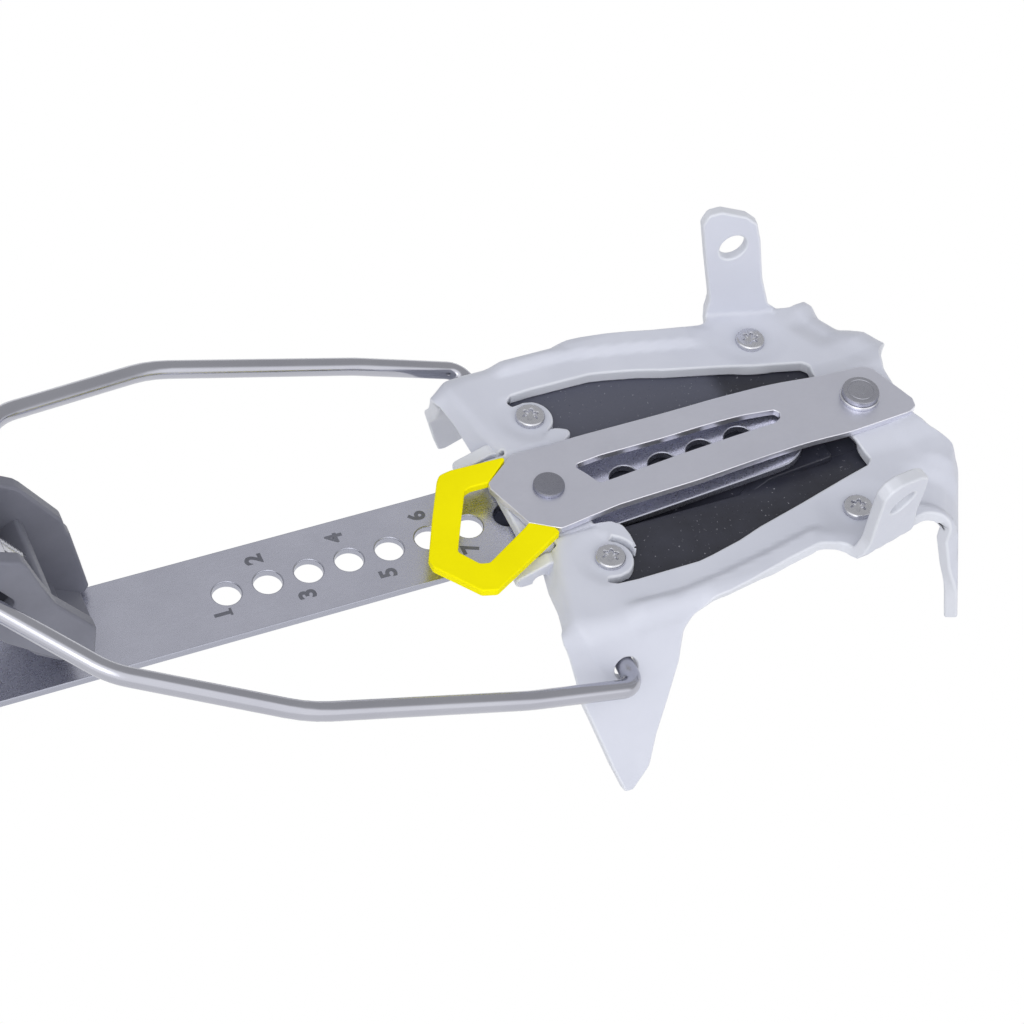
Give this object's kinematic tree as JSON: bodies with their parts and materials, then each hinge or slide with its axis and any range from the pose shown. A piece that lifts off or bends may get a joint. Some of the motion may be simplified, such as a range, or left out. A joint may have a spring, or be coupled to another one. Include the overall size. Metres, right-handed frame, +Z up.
{
  "type": "strap_crampon",
  "caption": "Silver-white heel and toe crampon on a sliding drilled bar, with a spring lock, a yellow finger ring, black snow plates and a wire heel bail with a tightening lever",
  "frame": {"origin": "Middle of the box on the ground, under the linking bar", "axes": "+X towards the heel along the bar, +Y across, +Z up from the ground that the points stand on"},
  "size_m": [0.3504, 0.1074, 0.1008],
  "materials": {
    "coated_steel": "satin grey-white coating on pressed steel",
    "snow_plastic": "matte dark grey, finely pitted",
    "screw_steel": "bright turned steel",
    "bar_steel": "satin plated steel",
    "spring_steel": "satin rolled spring steel",
    "rivet_steel": "turned and plated",
    "bail_wire": "drawn stainless wire",
    "grip_coat": "dipped yellow coating",
    "lever_plastic": "moulded grey plastic, slightly satin"
  },
  "bodies": {
    "heel": {"heel_frame": "coated_steel", "heel_snow_plate": "snow_plastic", "heel_plate_screws": "screw_steel", "heel_plate_nuts": "screw_steel", "lock_spring_root": "spring_steel", "lock_rivet": "rivet_steel", "lock_rivet_washer": "rivet_steel"},
    "toe": {"linking_bar": "bar_steel", "toe_frame": "coated_steel", "toe_snow_plate": "snow_plastic", "toe_plate_screws": "screw_steel", "toe_plate_nuts": "screw_steel", "bar_rivets": "rivet_steel"},
    "lock": {"lock_spring_blade": "spring_steel", "lock_grip": "grip_coat", "lock_stud": "screw_steel"},
    "heel_wire": {"heel_bail": "bail_wire"},
    "saddle": {"lever_saddle": "bail_wire"},
    "lever": {"heel_lever": "lever_plastic"},
    "adjuster": {"lever_adjuster": "screw_steel", "lever_thumbwheel": "lever_plastic"},
    "toe_wire": {"toe_bail": "bail_wire"}
  },
  "joints": [
    {"name": "bar_slide", "type": "slide", "parent": "heel", "child": "toe", "axis": [-0.9946, 0, -0.1036], "range_m": [0, 0.009]},
    {"name": "lock_lift", "type": "hinge", "parent": "heel", "child": "lock", "pos_m": [0.151, 0, 0.04205], "axis": [0, 1, 0], "range_deg": [0, 12], "stiffness_Nm_per_rad": 6},
    {"name": "heel_bail_swing", "type": "hinge", "parent": "heel", "child": "heel_wire", "pos_m": [0.0843, 0, 0.02925], "axis": [0, 1, 0], "range_deg": [0, 115]},
    {"name": "heel_lever_tilt", "type": "hinge", "parent": "heel_wire", "child": "saddle", "pos_m": [-0.04283, 0, 0.07285], "axis": [0, -1, 0], "range_deg": [0, 70]},
    {"name": "height_adjust", "type": "slide", "parent": "saddle", "child": "lever", "axis": [-0.5682, 0, 0.8229], "range_m": [0, 0.008]},
    {"name": "adjuster_spin", "type": "hinge", "parent": "lever", "child": "adjuster", "pos_m": [-0.03921, 0, 0.07535], "axis": [-0.5682, 0, 0.8229], "range_deg": [0, 1440]},
    {"name": "toe_bail_swing", "type": "hinge", "parent": "toe", "child": "toe_wire", "pos_m": [-0.118, 0, 0.05], "axis": [0, 1, 0], "range_deg": [0, 140]}
  ],
  "couplings": [
    {"joint": "lock_lift", "follows": "bar_slide", "rad_per_m": 23.27},
    {"joint": "adjuster_spin", "follows": "height_adjust", "rad_per_m": 3141.6}
  ]
}
